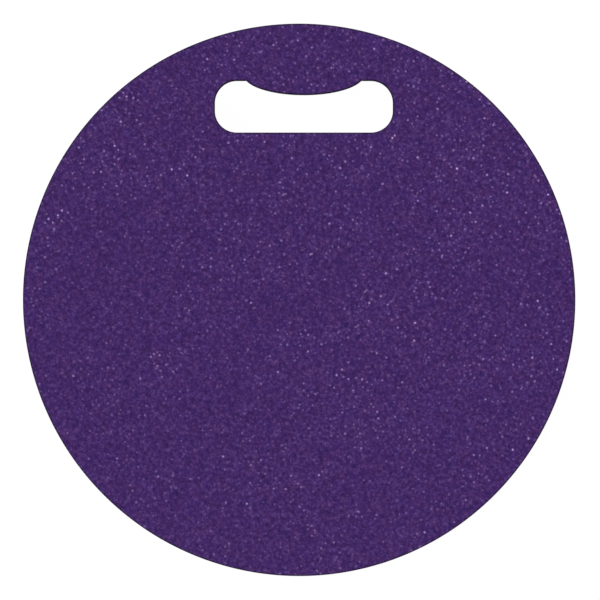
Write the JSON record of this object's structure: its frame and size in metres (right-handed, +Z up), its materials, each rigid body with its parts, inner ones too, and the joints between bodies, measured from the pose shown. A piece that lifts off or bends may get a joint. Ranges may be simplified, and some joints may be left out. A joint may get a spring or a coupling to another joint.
{
  "type": "wobble cushion",
  "caption": "Round foam seat disc with a carrying slot near its rim, on a soft ball-shaped rocker with a ribbed rubber sole, for balance training while sitting.",
  "frame": {"origin": "centre of the rubber sole's underside, on the floor", "axes": "+Z up, out of the seat face; +Y from the disc's centre towards the carrying slot; +X along the slot"},
  "size_m": [0.35, 0.35, 0.083],
  "materials": {
    "seat_foam": "matte speckled closed-cell foam, purple",
    "under_foam": "matte speckled closed-cell foam, purple",
    "rocker_foam": "matte closed-cell foam with a turned side wall, purple",
    "stiffener_board": "matte dense foamed plastic board, charcoal",
    "spreader_board": "matte dense foamed plastic board, charcoal",
    "sole_rubber": "matte moulded rubber, near black"
  },
  "bodies": {
    "foot": {"grip_sole": "sole_rubber", "rocker_sheet_1": "rocker_foam", "rocker_sheet_2": "rocker_foam"},
    "middle": {"spreader_sheet": "spreader_board"},
    "seat": {"rocker_sheet_3": "rocker_foam", "rocker_sheet_4": "rocker_foam", "under_sheet": "under_foam", "stiffener_sheet": "stiffener_board", "seat_sheet": "seat_foam"}
  },
  "joints": [
    {"name": "wobble_pitch", "type": "hinge", "parent": "foot", "child": "middle", "pos_m": [0, 0, 0.016], "axis": [1, 0, 0], "range_deg": [-8, 8], "stiffness_Nm_per_rad": 60, "deforming": ["rocker_sheet_1", "rocker_sheet_2"]},
    {"name": "wobble_roll", "type": "hinge", "parent": "middle", "child": "seat", "pos_m": [0, 0, 0.043], "axis": [0, 1, 0], "range_deg": [-8, 8], "stiffness_Nm_per_rad": 60, "deforming": ["rocker_sheet_3", "rocker_sheet_4"]}
  ]
}
